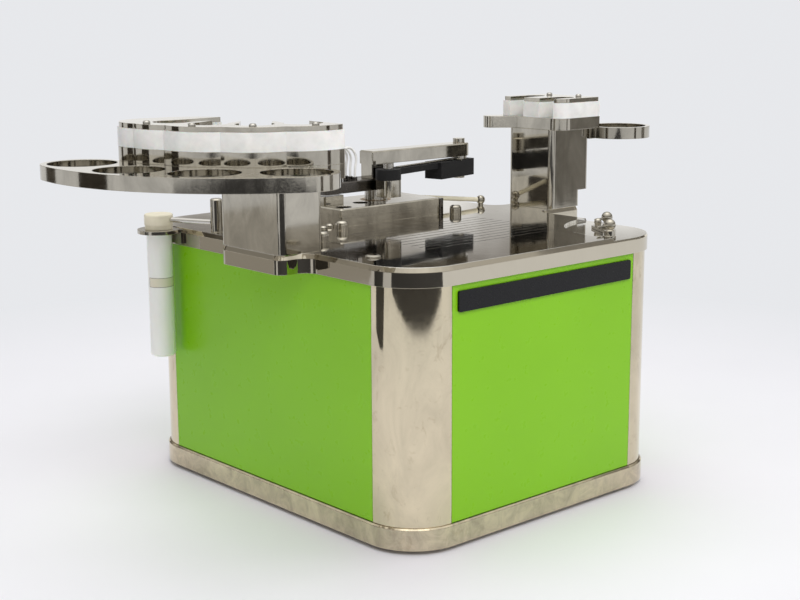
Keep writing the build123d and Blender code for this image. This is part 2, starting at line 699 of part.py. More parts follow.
def make_forearm():
    block = slab(
        -FOREARM_BLOCK_BACK, FOREARM_BLOCK_FRONT, -FOREARM_BLOCK_WIDTH / 2,
        FOREARM_BLOCK_WIDTH / 2, FOREARM_TOP - FOREARM_THICK, FOREARM_THICK,
        FOREARM_BLOCK_CORNER
    )
    strip = Pos(FOREARM_LENGTH / 2, 0) * Rectangle(FOREARM_LENGTH, FOREARM_WIDTH)
    link = prism(strip, FOREARM_TOP - FOREARM_THIN, FOREARM_THIN)
    hub = drum(HUB_RADIUS, HUB_HEIGHT, FOREARM_LENGTH, 0, FOREARM_TOP - HUB_HEIGHT)
    arm = block + link + hub
    arm -= drum(ELBOW_PIN_RADIUS + RUNNING_GAP, 2 * FOREARM_THICK, 0, 0, UPPER_Z - 2 * FOREARM_THICK)
    arm -= drum(WRIST_SCREW_RADIUS + RUNNING_GAP, 2 * HUB_HEIGHT, FOREARM_LENGTH, 0, HEAD_TOP - 1)
    return along_forearm(arm)


def make_forearm_tube():
    z = FOREARM_TOP + ARM_TUBE_RADIUS + FIT_GAP
    bend_x = SPACER_RADIUS + ARM_TUBE_PAST_SPACER
    start = (FOREARM_LENGTH - HUB_RADIUS + ARM_TUBE_HUB_OVERLAP, ARM_TUBE_SIDE, z)
    bend = (bend_x, ARM_TUBE_SIDE, z)
    end = (bend_x, half_width_clear(), z)
    path = FilletPolyline(start, bend, end, radius=ARM_TUBE_BEND)
    section = Plane(origin=start, z_dir=(-1, 0, 0)) * Circle(ARM_TUBE_RADIUS)
    return along_forearm(sweep(section, path=path))


def half_width_clear():
    """How far the forearm's steel tube runs out over the edge of the thick block."""
    return FOREARM_BLOCK_WIDTH / 2 + ARM_TUBE_OVERHANG


def make_dispense_head():
    half = HEAD_SIZE / 2
    head = slab(
        WRIST[0] - half, WRIST[0] + half, WRIST[1] - half, WRIST[1] + half,
        HEAD_BOTTOM, HEAD_HEIGHT, HEAD_CORNER
    )
    return head - drum(
        WRIST_SCREW_RADIUS + FIT_GAP, HEAD_HEIGHT, *WRIST, HEAD_TOP - HEAD_HEIGHT / 2
    )


def make_wrist_screw():
    z = HEAD_TOP - HEAD_HEIGHT / 2
    shank = drum(WRIST_SCREW_RADIUS, FOREARM_TOP + JOINT_GAP - z, *WRIST, z)
    cap = drum(WRIST_HEAD_RADIUS, WRIST_HEAD_HEIGHT, *WRIST, FOREARM_TOP + JOINT_GAP)
    socket = extrude(
        Pos(*WRIST, FOREARM_TOP + JOINT_GAP + WRIST_HEAD_HEIGHT / 2) * RegularPolygon(2.3, 6),
        amount=WRIST_HEAD_HEIGHT
    )
    return shank + cap - socket


def make_needle():
    x = WRIST[0] + NEEDLE_OFFSET[0]
    y = WRIST[1] + NEEDLE_OFFSET[1]
    return drum(NEEDLE_RADIUS, NEEDLE_LENGTH, x, y, HEAD_BOTTOM - NEEDLE_LENGTH)


def loop_points(index):
    """Route of one clear tube, which leans back or forward towards its top."""
    foot = TURRET_TOP + LOOP_FITTING_HEIGHT
    top = max(rise for _, rise in LOOP_ROUTE)
    y = LOOP_FIRST_Y + index * LOOP_PITCH
    return [
        Vector(LOOP_MIDDLE_X + across, y + LOOP_LEANS[index] * rise / top, foot + rise)
        for across, rise in LOOP_ROUTE
    ]


def bend_radii(points):
    """Arc radius at each inner point of a route, as large as its two runs allow."""
    radii = []
    for before, at, after in zip(points, points[1:], points[2:]):
        shorter = min((at - before).length, (after - at).length)
        turn = radians((at - before).get_angle(after - at))
        radii.append(BEND_SHARE * shorter / tan(turn / 2))
    return radii


def make_tube_loop(index):
    """One clear tube arching from fitting to fitting over the turret plate."""
    points = loop_points(index)
    radii = bend_radii(points)
    path = FilletPolyline(*points, radius=radii)
    tube = sweep(Plane(origin=points[0], z_dir=points[1] - points[0]) * Circle(LOOP_RADIUS), path=path)
    print("tube loop", index + 1, "radii", [round(radius, 1) for radius in radii])
    print("length", round(path.length, 2), "volume share", round(
        tube.volume / (pi * LOOP_RADIUS ** 2 * path.length), 4
    ))
    return tube


# docks

def make_left_tower():
    return slab(
        *LEFT_TOWER_X, *LEFT_TOWER_Y, DECK_TOP, LEFT_TOWER_HEIGHT, TOWER_EDGE
    )


def wedge(radius, start, end, steps):
    """Pie slice about the origin that reaches past a radius."""
    points = [(0, 0)]
    for step in range(steps + 1):
        points.append(polar((0, 0), radius * 1.2, start + (end - start) * step / steps))
    return make_face(Polyline(*points, close=True))


def make_tube_plate():
    first = TUBE_ANGLES[0]
    last = TUBE_ANGLES[-1]
    band = Circle(TUBE_PLATE_RIM) - Circle(TUBE_PLATE_INNER)
    plate = band & wedge(TUBE_PLATE_RIM, first, last, 4)
    for angle in (first, last):
        end_radius = TUBE_PLATE_RIM - TUBE_PLATE_END
        plate += Pos(*polar((0, 0), end_radius, angle)) * Circle(TUBE_PLATE_END)
    plate += lobes(0)
    tower = Pos(sum(LEFT_TOWER_X) / 2 - DOCK_CENTRE[0], sum(LEFT_TOWER_Y) / 2 - DOCK_CENTRE[1])
    plate += tower * RectangleRounded(
        LEFT_TOWER_X[1] - LEFT_TOWER_X[0], LEFT_TOWER_Y[1] - LEFT_TOWER_Y[0], TOWER_EDGE
    )
    for angle in TUBE_ANGLES:
        plate -= Pos(*polar((0, 0), TUBE_PITCH_RADIUS, angle)) * Circle(TUBE_HOLE_RADIUS)
    solid = prism(Pos(*DOCK_CENTRE) * plate, LEFT_PLATE_Z, PLATE_THICKNESS)
    return solid


def lobes(inset):
    """Scalloped outline of the left dock about its own centre, cut straight on the right."""
    outline = Pos(*LOBE_END_POINT) * Circle(LOBE_END_RADIUS - inset)
    for angle in LOBE_ANGLES:
        outline += Pos(*polar((0, 0), LOBE_CENTRE_RADIUS, angle)) * Circle(LOBE_RADIUS - inset)
    span = 4 * LOBE_CENTRE_RADIUS
    cut_x = LOBE_CUT_X - inset
    outline = outline & Pos(cut_x - span / 2, 0) * Rectangle(span, 2 * span)
    corners = outline.vertices().filter_by(lambda v: abs(v.X - cut_x) < JOINT_GAP)
    return fillet(corners, LOBE_CUT_CORNER)


def left_dock_layer(z, height, nest_radius, mouth, inset):
    """One layer of the left dock, with a round nest and an open mouth in each lobe."""
    outline = lobes(inset)
    for angle in LOBE_ANGLES:
        nest = Pos(*polar((0, 0), NEST_CENTRE_RADIUS, angle)) * Circle(nest_radius)
        run = Pos(*polar((0, 0), NEST_CENTRE_RADIUS / 2, angle)) * Rot(
            0, 0, angle
        ) * Rectangle(NEST_CENTRE_RADIUS, mouth)
        outline = outline - nest - run
    solids = prism(Pos(*DOCK_CENTRE) * outline, z, height).solids()
    return solids.sort_by(SortBy.VOLUME)[-1]


def make_left_dock_base():
    return left_dock_layer(DOCK_Z, DOCK_BASE, DOCK_BASE_SLOT / 2, DOCK_BASE_SLOT, 0)


def make_left_dock_block():
    return left_dock_layer(DOCK_BLOCK_Z, DOCK_BLOCK, NEST_RADIUS, NEST_MOUTH, 0)


def make_left_dock_cover():
    return left_dock_layer(DOCK_COVER_Z, DOCK_COVER, NEST_RADIUS, NEST_MOUTH, COVER_INSET)


def make_left_dock_screws():
    nest_end = NEST_CENTRE_RADIUS + NEST_RADIUS
    rim = LOBE_CENTRE_RADIUS + LOBE_RADIUS
    screws = []
    for angle in LOBE_ANGLES:
        point = polar(DOCK_CENTRE, (nest_end + rim) / 2, angle)
        screws.append(
            dome(DOCK_SCREW_RADIUS, DOCK_SCREW_HEIGHT, *point, DOCK_COVER_Z + DOCK_COVER)
        )
    return screws


def make_right_tower():
    height = DOCK_Z - DECK_TOP
    tower = slab(*RIGHT_TOWER_X, *RIGHT_TOWER_Y, DECK_TOP, height, TOWER_EDGE)
    return tower + slab(
        RIGHT_TOWER_X[0], RIGHT_STEP_X, *RIGHT_TOWER_Y, DECK_TOP + RIGHT_STEP,
        height - RIGHT_STEP, TOWER_EDGE
    )


def right_dock_layer(z, height, slot_width, inset, ear):
    outline = Pos(sum(RIGHT_DOCK_X) / 2, sum(RIGHT_DOCK_Y) / 2) * Rectangle(
        RIGHT_DOCK_X[1] - RIGHT_DOCK_X[0] - 2 * inset, RIGHT_DOCK_Y[1] - RIGHT_DOCK_Y[0] - 2 * inset
    )
    near = outline.vertices().sort_by(lambda v: v.X + v.Y)[0]
    outline = fillet(near, RIGHT_DOCK_CORNER - inset)
    far = outline.vertices().filter_by(lambda v: abs(v.X + v.Y) > JOINT_GAP)
    far = far.sort_by(lambda v: v.X + v.Y)[2:]
    outline = fillet(far, RIGHT_DOCK_EDGE)
    if ear:
        outline += make_hull((
            Pos(*EAR_POINT) * Circle(EAR_RADIUS)
            + Pos(RIGHT_DOCK_X[0] + RIGHT_DOCK_CORNER, RIGHT_DOCK_Y[1] - RIGHT_DOCK_CORNER)
            * Circle(RIGHT_DOCK_CORNER)
        ).edges())
    middle_y = sum(RIGHT_DOCK_Y) / 2
    centre_x = RIGHT_SLOT_END_X - slot_width / 2
    start_x = RIGHT_DOCK_X[0] - RIGHT_DOCK_CORNER
    for side in (-1, 1):
        y = middle_y + side * RIGHT_SLOT_PITCH / 2
        outline -= Pos(centre_x, y) * Circle(slot_width / 2)
        if not ear:
            outline -= Pos((centre_x + start_x) / 2, y) * Rectangle(centre_x - start_x, slot_width)
    return prism(outline, z, height)


def make_right_dock_base():
    return right_dock_layer(DOCK_Z, DOCK_BASE, DOCK_BASE_SLOT, 0, True)


def make_right_dock_block():
    return right_dock_layer(DOCK_BLOCK_Z, DOCK_BLOCK, DOCK_SLOT, 0, False)


def make_right_dock_cover():
    return right_dock_layer(DOCK_COVER_Z, DOCK_COVER, DOCK_SLOT, COVER_INSET, False)


def make_right_dock_screws():
    x = (RIGHT_SLOT_END_X + RIGHT_DOCK_X[1]) / 2
    screws = []
    for side in (-1, 1):
        y = sum(RIGHT_DOCK_Y) / 2 + side * RIGHT_SLOT_PITCH / 2
        screws.append(dome(DOCK_SCREW_RADIUS, DOCK_SCREW_HEIGHT, x, y, DOCK_COVER_Z + DOCK_COVER))
    return screws


def make_tube_ring():
    ring = Pos(*RING_CENTRE) * Circle(RING_RADIUS)
    neck_end = RING_CENTRE[0] - RING_WALL
    neck = Pos((RIGHT_STEP_X + neck_end) / 2, sum(RING_NECK_Y) / 2) * Rectangle(
        neck_end - RIGHT_STEP_X, RING_NECK_Y[1] - RING_NECK_Y[0]
    )
    outline = ring + neck
    outline -= Pos(*RING_CENTRE) * Circle(TUBE_HOLE_RADIUS)
    return prism(outline, LEFT_PLATE_Z, PLATE_THICKNESS)


# wash bottle

def make_wash_bottle():
    """Straight thin-walled bottle, open at the neck, hung through its holder."""
    bottom = HOLDER_TOP - BOTTLE_LENGTH
    inner = BOTTLE_RADIUS - BOTTLE_WALL
    neck_top = HOLDER_TOP + BOTTLE_NECK_HEIGHT
    profile = make_face(Plane.XZ * Polyline(
        (0, bottom), (BOTTLE_RADIUS - BOTTLE_EDGE, bottom), (BOTTLE_RADIUS, bottom + BOTTLE_EDGE),
        (BOTTLE_RADIUS, HOLDER_TOP), (BOTTLE_NECK_RADIUS, HOLDER_TOP),
        (BOTTLE_NECK_RADIUS, neck_top), (BOTTLE_NECK_RADIUS - BOTTLE_WALL, neck_top),
        (BOTTLE_NECK_RADIUS - BOTTLE_WALL, HOLDER_TOP - BOTTLE_WALL),
        (inner, HOLDER_TOP - 2 * BOTTLE_WALL), (inner, bottom + 2 * BOTTLE_WALL),
        (0, bottom + 2 * BOTTLE_WALL), close=True
    ))
    return Pos(*BOTTLE_POINT) * revolve(profile, Axis.Z)


def make_wash_cap():
    """Two-tier cap over the neck, resting on the holder."""
    inner = BOTTLE_NECK_RADIUS + RUNNING_GAP
    ceiling = HOLDER_TOP + BOTTLE_NECK_HEIGHT + JOINT_GAP
    skirt = HOLDER_TOP + CAP_SKIRT
    foot = HOLDER_TOP + JOINT_GAP
    profile = make_face(Plane.XZ * Polyline(
        (0, ceiling), (inner, ceiling), (inner, foot), (CAP_SKIRT_RADIUS, foot),
        (CAP_SKIRT_RADIUS, skirt), (CAP_RADIUS, skirt), (CAP_RADIUS, CAP_TOP - CAP_EDGE),
        (CAP_RADIUS - CAP_EDGE, CAP_TOP), (0, CAP_TOP), close=True
    ))
    return Pos(*BOTTLE_POINT) * revolve(profile, Axis.Z)


def make_wash_holder():
    """Ring round the bottle with a flat back and a tab against the deck's side."""
    edge = -(SIDE_X + DECK_PROUD)
    bottom = HOLDER_TOP - HOLDER_THICKNESS
    ring = Pos(*BOTTLE_POINT) * Circle(HOLDER_RADIUS)
    ring = ring & Pos(edge - HOLDER_RADIUS * 2, BOTTLE_POINT[1]) * Rectangle(
        4 * HOLDER_RADIUS, 4 * HOLDER_RADIUS
    )
    ring -= Pos(*BOTTLE_POINT) * Circle(BOTTLE_RADIUS + 3 * JOINT_GAP)
    tab = brick(
        HOLDER_TAB, edge - HOLDER_TAB[0] / 2, BOTTLE_POINT[1] - HOLDER_TAB_BACK,
        HOLDER_TOP - HOLDER_TAB[2]
    )
    return prism(ring, bottom, HOLDER_THICKNESS) + tab


def make_line_post():
    post = drum(LINE_POST_RADIUS, LINE_POST_HEIGHT, *LINE_POST_POINT, DECK_TOP)
    return chamfer(post.edges().sort_by(Axis.Z)[-1], 1.0)


def straight_tube(start, way, length):
    """Round tube of the line's size from a point along a direction."""
    return extrude(Plane(origin=start, z_dir=way) * Circle(TRANSFER_RADIUS), amount=length)


def make_transfer_tube():
    """Level tube from the side of the cap to the line post."""
    z = HOLDER_TOP + (CAP_SKIRT + CAP_HEIGHT) / 2
    cap = Vector(*BOTTLE_POINT, z)
    post = Vector(*LINE_POST_POINT, z)
    way = (post - cap).normalized()
    length = (post - cap).length - CAP_RADIUS - LINE_POST_RADIUS - 2 * FIT_GAP
    return straight_tube(cap + way * (CAP_RADIUS + FIT_GAP), way, length)


def make_side_line():
    """Tube that slopes from the arm housing's end down to the ball at the deck's edge."""
    start = Vector(*SIDE_LINE_START, DECK_TOP + SIDE_LINE_RAISE)
    ball = Vector(*BALL_POINT, DECK_TOP + BALL_RAISE)
    way = (ball - start).normalized()
    length = (ball - start).length - BALL_RADIUS
    tube = straight_tube(start - way * TRANSFER_RADIUS, way, length + 2 * TRANSFER_RADIUS)
    housing_side = SIDE_LINE_START[0] + FIT_GAP
    keep = Pos(housing_side, 0) * Box(BODY_WIDTH, BODY_DEPTH, 4 * DECK_TOP, align=(
        Align.MIN, Align.CENTER, Align.CENTER
    ))
    return (tube & keep) - Pos(*ball) * Sphere(BALL_RADIUS + FIT_GAP)


# rear fittings

def rear_fitting(x, size, flange):
    """Panel fitting let into the rear panel from outside, flange against the panel."""
    body = Pos(x, REAR_Y - FITTING_DEPTH / 2, INLET_Z) * Box(size[0], FITTING_DEPTH, size[1])
    rim = Pos(x, REAR_Y + FLANGE_RAISE / 2, INLET_Z) * Box(
        size[0] + 2 * flange, FLANGE_RAISE, size[1] + 2 * flange
    )
    return body + rim


def make_power_inlet():
    inlet = rear_fitting(INLET_X, INLET_SIZE, INLET_FLANGE)
    well = Pos(INLET_X, REAR_Y, INLET_Z) * Box(
        INLET_SIZE[0] - INLET_RIM, FITTING_DEPTH, INLET_SIZE[1] - INLET_RIM
    )
    pins = None
    width, height = INLET_PIN_SIZE
    y = REAR_Y - FITTING_DEPTH / 4 - INLET_PIN_SHORT_BY / 2
    for column in (-1, 0, 1):
        x = INLET_X + column * INLET_PIN_PITCH
        pin = Pos(x, y, INLET_Z - abs(column) * INLET_PIN_DROP)
        blade = pin * Box(width, FITTING_DEPTH / 2 - INLET_PIN_SHORT_BY, height)
        pins = blade if pins is None else pins + blade
    return inlet - well + pins


def make_data_port():
    port = rear_fitting(PORT_X, PORT_SIZE, INLET_FLANGE)
    well = Pos(PORT_X, REAR_Y, INLET_Z) * Box(
        PORT_SIZE[0] - PORT_RIM, FITTING_DEPTH / 2, PORT_SIZE[1] - PORT_RIM
    )
    return port - well


def make_power_rocker():
    width = ROCKER_SIZE[0]
    height = ROCKER_SIZE[1] - ROCKER_HEIGHT_GAP
    body = Box(width, ROCKER_DEPTH, height)
    body = fillet(body.edges().filter_by(Axis.X), ROCKER_ROUND)
    body += Rot(0, 90, 0) * Cylinder(ROCKER_PIN_RADIUS, width + ROCKER_GAP)
    return Pos(ROCKER_X, REAR_Y - ROCKER_SET_BACK, INLET_Z) * Rot(ROCKER_TILT, 0, 0) * body


def make_rocker_frame():
    """Open frame that holds the rocker's pivot behind the rear panel."""
    outer_x = ROCKER_SIZE[0] + ROCKER_FRAME_MARGIN[0]
    outer_z = ROCKER_SIZE[1] + ROCKER_FRAME_MARGIN[1]
    depth = FITTING_DEPTH - PANEL_THICKNESS
    frame = Pos(ROCKER_X, REAR_Y - PANEL_THICKNESS - depth / 2, INLET_Z) * Box(
        outer_x, depth, outer_z
    )
    well = Pos(ROCKER_X, REAR_Y - PANEL_THICKNESS - ROCKER_FRAME_BACK, INLET_Z) * Box(
        ROCKER_SIZE[0] + 2 * ROCKER_GAP, depth, ROCKER_SIZE[1] + ROCKER_WELL_MARGIN
    )
    return frame - well


# inside the housing

def make_power_supply():
    case = brick(SUPPLY_SIZE, *SUPPLY_POINT, FLOOR_Z)
    return chamfer(case.edges().filter_by(Axis.Z), 2.0)


def make_controller_board():
    z = FLOOR_Z + BOARD_LEG_HEIGHT
    board = brick(BOARD_SIZE, *BOARD_POINT, z)
    for side_x in (-1, 1):
        for side_y in (-1, 1):
            x = BOARD_POINT[0] + side_x * (BOARD_SIZE[0] / 2 - 6)
            y = BOARD_POINT[1] + side_y * (BOARD_SIZE[1] / 2 - 6)
            board += drum(BOARD_LEG_RADIUS, BOARD_LEG_HEIGHT, x, y, FLOOR_Z)
        chip_x = BOARD_POINT[0] + side_x * BOARD_SIZE[0] / 4
        board += brick(CHIP_SIZE, chip_x, BOARD_POINT[1], z + BOARD_SIZE[2])
    return board


def make_valve_block():
    block = brick(VALVE_SIZE, *VALVE_POINT, FLOOR_Z)
    pitch = VALVE_SIZE[1] / VALVE_COUNT
    for index in range(VALVE_COUNT):
        y = VALVE_POINT[1] + (index - (VALVE_COUNT - 1) / 2) * pitch
        block += drum(VALVE_RADIUS, VALVE_HEIGHT, VALVE_POINT[0], y, FLOOR_Z + VALVE_SIZE[2])
    return block


NODES = {
    "rubber_feet": make_feet(),
    "base_plate": make_base_plate(),
    "corner_posts": make_corner_posts(),
    "front_panel": make_front_panel(),
    "left_panel": make_side_panel(-1),
    "right_panel": make_side_panel(1),
    "rear_panel": make_rear_panel(),
    "nameplate_bar": make_nameplate_bar(),
    "deck_plate": make_deck_plate(),
    "locating_pegs": [domed_peg(*point) for point in PEG_POINTS] + [make_clamp_pivot()],
    "deck_button": make_deck_button(),
    "domed_screws": [
        dome(DOME_RADIUS, DOME_HEIGHT, *point, DECK_TOP) for point in DOME_POINTS
    ] + [make_line_ball()],
    "clamp_lever": make_clamp_lever(),
    "arm_housing": make_arm_housing(),
    "housing_end_bracket": make_end_bracket(),
    "tubing_block": make_tubing_block(),
    "column_bush": make_column_bush(),
    "lift_carriage": make_lift_carriage(),
    "lead_nut": make_lead_nut(),
    "lift_motor": make_lift_motor(),
    "shoulder_motor": make_shoulder_motor(),
    "lead_screw": make_lead_screw(),
    "guide_rods": make_guide_rods(),
    "lift_column": make_lift_column(),
    "shoulder_shaft": make_shoulder_shaft(),
    "turret_plate": make_turret_plate(),
    "upper_arm": make_upper_arm(),
    "elbow_spacer": make_elbow_spacer(),
    "elbow_pin": make_elbow_pin(),
    "forearm": make_forearm(),
    "forearm_tube": make_forearm_tube(),
    "dispense_head": make_dispense_head(),
    "wrist_screw": make_wrist_screw(),
    "needle": make_needle(),
    "left_tower": make_left_tower(),
    "left_tube_plate": make_tube_plate(),
    "left_dock_base": make_left_dock_base(),
    "left_dock_block": make_left_dock_block(),
    "left_dock_cover": make_left_dock_cover(),
    "right_tower": make_right_tower(),
    "right_dock_base": make_right_dock_base(),
    "right_dock_block": make_right_dock_block(),
    "right_dock_cover": make_right_dock_cover(),
    "dock_screws": make_left_dock_screws() + make_right_dock_screws(),
    "right_tube_ring": make_tube_ring(),
    "wash_bottle": make_wash_bottle(),
    "wash_cap": make_wash_cap(),
    "wash_holder": make_wash_holder(),
    "wash_line_post": make_line_post(),
    "wash_transfer_tube": [make_transfer_tube(), make_side_line()],
    "power_inlet": make_power_inlet(),
    "data_port": make_data_port(),
    "power_rocker": make_power_rocker(),
    "rocker_frame": make_rocker_frame(),
    "power_supply": make_power_supply(),
    "controller_board": make_controller_board(),
    "valve_block": make_valve_block(),
}
for index in range(len(LOOP_LEANS)):
    NODES[f"tube_loop_{index + 1}"] = make_tube_loop(index)

os.makedirs("parts", exist_ok=True)
for name, shape in NODES.items():
    solids = shape if isinstance(shape, list) else [shape]
    moved = [Pos(FRAME_SHIFT_X, 0, 0) * solid for solid in solids]
    pieces = [piece for solid in moved for piece in solid.solids()]
    whole = pieces[0] if len(pieces) == 1 else Compound(children=pieces)
    export_step(whole, f"parts/{name}.step")
print("nodes", len(NODES), "frame shift", round(FRAME_SHIFT_X, 3))
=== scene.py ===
import json
from math import cos, radians, sin

import bpy
from mathutils import Matrix, Vector


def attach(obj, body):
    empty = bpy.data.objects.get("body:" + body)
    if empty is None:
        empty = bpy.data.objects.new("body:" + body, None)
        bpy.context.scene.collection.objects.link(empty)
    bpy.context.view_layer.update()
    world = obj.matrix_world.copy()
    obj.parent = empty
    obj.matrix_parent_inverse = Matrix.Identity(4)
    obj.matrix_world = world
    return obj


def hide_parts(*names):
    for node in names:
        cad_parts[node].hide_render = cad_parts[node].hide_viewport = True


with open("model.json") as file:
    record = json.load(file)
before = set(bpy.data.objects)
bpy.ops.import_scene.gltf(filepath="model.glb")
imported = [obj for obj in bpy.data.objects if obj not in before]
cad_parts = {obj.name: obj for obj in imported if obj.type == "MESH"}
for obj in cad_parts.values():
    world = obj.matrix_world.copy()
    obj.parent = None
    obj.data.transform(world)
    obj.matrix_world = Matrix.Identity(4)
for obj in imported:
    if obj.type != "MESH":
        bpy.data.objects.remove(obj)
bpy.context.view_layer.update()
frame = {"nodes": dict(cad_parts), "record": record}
NODES = frame["nodes"]
MM = 0.001

# how far the model's layout, about the housing's middle, was moved along X, in millimetres
FRAME_SHIFT_X = 17.375

# camera, in millimetres and degrees
CAMERA_POINT = (-738.0, -848.0, 373.6)
CAMERA_TURN = -41.743
CAMERA_TILT = 11.537
CAMERA_ROLL = -0.269
CAMERA_LENS = 64.38
SENSOR_WIDTH = 36.0


def make_camera():
    """Puts the camera at the measured viewing point."""
    turn, tilt, roll = (radians(v) for v in (CAMERA_TURN, CAMERA_TILT, CAMERA_ROLL))
    back = Vector((sin(turn) * cos(tilt), -cos(turn) * cos(tilt), sin(tilt)))
    right = Vector((cos(turn), sin(turn), 0))
    up = back.cross(right)
    rolled_right = cos(roll) * right + sin(roll) * up
    rolled_up = cos(roll) * up - sin(roll) * right
    data = bpy.data.cameras.new("camera")
    data.lens = CAMERA_LENS
    data.sensor_fit = "HORIZONTAL"
    data.sensor_width = SENSOR_WIDTH
    data.clip_end = 50
    camera = bpy.data.objects.new("camera", data)
    axes = Matrix((rolled_right, rolled_up, back)).transposed().to_4x4()
    camera.matrix_world = Matrix.Translation(Vector(CAMERA_POINT) * MM) @ axes
    bpy.context.collection.objects.link(camera)
    bpy.context.scene.camera = camera


# free tubes: the same points as the solid tubes have, in millimetres from their middle and foot
LOOP_MIDDLE_X = -14.0
LOOP_FIRST_Y = 46.5
LOOP_PITCH = 6.0
LOOP_FOOT_Z = 238.5
LOOP_DIAMETER = 2.0
LOOP_RISE = 24.3
LOOP_ROUTE = [
    (-8.0, 0.0), (-8.0, 7.0), (-10.0, 14.5), (-7.8, 20.5), (-3.4, LOOP_RISE),
    (3.4, LOOP_RISE), (7.8, 20.5), (10.0, 14.5), (8.0, 7.0), (8.0, 0.0),
]
LOOP_LEANS = [0.0, 1.2, -0.8]


# --- material helpers ---

def fill_ramp(node, stops):
    """Gives a colour ramp node its (position, colour) stops."""
    elements = node.color_ramp.elements
    while len(elements) < len(stops):
        elements.new(0.5)
    for element, (position, color) in zip(elements, stops):
        element.position = position
        element.color = (*color, 1)


class Paint:
    """A material under construction: its nodes, its links and its shader."""

    def __init__(self, name, color, metallic=0.0, roughness=0.4):
        self.material = bpy.data.materials.new(name)
        self.material.use_nodes = True
        self.nodes = self.material.node_tree.nodes
        self.links = self.material.node_tree.links
        self.shader = self.nodes["Principled BSDF"]
        self.color = color
        self.shader.inputs["Base Color"].default_value = (*color, 1)
        self.shader.inputs["Metallic"].default_value = metallic
        self.shader.inputs["Roughness"].default_value = roughness
        self.place = self.nodes.new("ShaderNodeTexCoord").outputs["Object"]

    def set(self, **values):
        for key, value in values.items():
            self.shader.inputs[key.replace("_", " ")].default_value = value
        return self

    def stretched(self, scale):
        """Object coordinates scaled by axis, for grain that runs one way."""
        mapping = self.nodes.new("ShaderNodeMapping")
        mapping.inputs["Scale"].default_value = scale
        self.links.new(self.place, mapping.inputs["Vector"])
        return mapping.outputs["Vector"]

    def noise(self, size_mm, detail=4.0, rough=0.55, stretch=(1, 1, 1), warp=0.0):
        node = self.nodes.new("ShaderNodeTexNoise")
        node.inputs["Scale"].default_value = 1000.0 / size_mm
        node.inputs["Detail"].default_value = detail
        node.inputs["Roughness"].default_value = rough
        node.inputs["Distortion"].default_value = warp
        self.links.new(self.stretched(stretch), node.inputs["Vector"])
        return node.outputs["Fac"]

    def cells(self, size_mm):
        node = self.nodes.new("ShaderNodeTexVoronoi")
        node.inputs["Scale"].default_value = 1000.0 / size_mm
        self.links.new(self.place, node.inputs["Vector"])
        return node.outputs["Distance"]

    def ramp(self, source, stops):
        """Colour ramp with (position, colour) stops."""
        node = self.nodes.new("ShaderNodeValToRGB")
        fill_ramp(node, stops)
        self.links.new(source, node.inputs["Fac"])
        return node.outputs["Color"]

    def mapped(self, source, low, high, start=0.3, end=0.7):
        node = self.nodes.new("ShaderNodeMapRange")
        node.inputs["From Min"].default_value = start
        node.inputs["From Max"].default_value = end
        node.inputs["To Min"].default_value = low
        node.inputs["To Max"].default_value = high
        self.links.new(source, node.inputs["Value"])
        return node.outputs["Result"]

    def blended(self, fac, first, second, mode="MIX"):
        node = self.nodes.new("ShaderNodeMix")
        node.data_type = "RGBA"
        node.blend_type = mode
        for socket, value in ((0, fac), (6, first), (7, second)):
            if isinstance(value, bpy.types.NodeSocket):
                self.links.new(value, node.inputs[socket])
            elif socket == 0:
                node.inputs[socket].default_value = value
            else:
                node.inputs[socket].default_value = (*value, 1)
        return node.outputs[2]

    def summed(self, first, second):
        node = self.nodes.new("ShaderNodeMath")
        node.operation = "ADD"
        self.links.new(first, node.inputs[0])
        self.links.new(second, node.inputs[1])
        return node.outputs[0]

    def math(self, operation, first, second, third=None):
        node = self.nodes.new("ShaderNodeMath")
        node.operation = operation
        for index, value in enumerate((first, second, third)):
            if isinstance(value, bpy.types.NodeSocket):
                self.links.new(value, node.inputs[index])
            elif value is not None:
                node.inputs[index].default_value = value
        return node.outputs[0]

    def axis(self, name):
        """One coordinate of the point on the object, in metres."""
        split = self.nodes.new("ShaderNodeSeparateXYZ")
        self.links.new(self.place, split.inputs["Vector"])
        return split.outputs[name]

    def facing(self, name):
        """How far the surface faces along one axis, from -1 to 1."""
        split = self.nodes.new("ShaderNodeSeparateXYZ")
        normal = self.nodes.new("ShaderNodeTexCoord").outputs["Normal"]
        self.links.new(normal, split.inputs["Vector"])
        return split.outputs[name]

    def near(self, source, centre_mm, half_mm):
        """One within half_mm of a centre, else nothing."""
        return self.math("COMPARE", source, centre_mm * MM, half_mm * MM)

    def overlaid(self, mask, color):
        """Paints a colour over the base colour where the mask is one."""
        covered = self.blended(mask, self.color_socket, color)
        self.color_socket = covered
        self.links.new(covered, self.shader.inputs["Base Color"])
        return self

    def tinted(self, source, dark=0.85, light=1.1, start=0.3, end=0.7):
        """Base colour that varies about the main colour."""
        low = tuple(min(1.0, c * dark) for c in self.color)
        high = tuple(min(1.0, c * light) for c in self.color)
        self.color_socket = self.ramp(source, [(start, low), (end, high)])
        self.links.new(self.color_socket, self.shader.inputs["Base Color"])
        return self

    def roughened(self, source, low, high, start=0.3, end=0.7):
        self.links.new(self.mapped(source, low, high, start, end), self.shader.inputs["Roughness"])
        return self

    def bumped(self, source, strength, depth_mm, edge_mm=0.0):
        """Fine relief, over edges rounded by edge_mm."""
        bump = self.nodes.new("ShaderNodeBump")
        bump.inputs["Strength"].default_value = strength
        bump.inputs["Distance"].default_value = depth_mm * MM
        self.links.new(source, bump.inputs["Height"])
        if edge_mm:
            self.links.new(self.soft_edges(edge_mm), bump.inputs["Normal"])
        self.links.new(bump.outputs["Normal"], self.shader.inputs["Normal"])
        return self

    def soft_edges(self, edge_mm):
        bevel = self.nodes.new("ShaderNodeBevel")
        bevel.samples = 4
        bevel.inputs["Radius"].default_value = edge_mm * MM
        return bevel.outputs["Normal"]


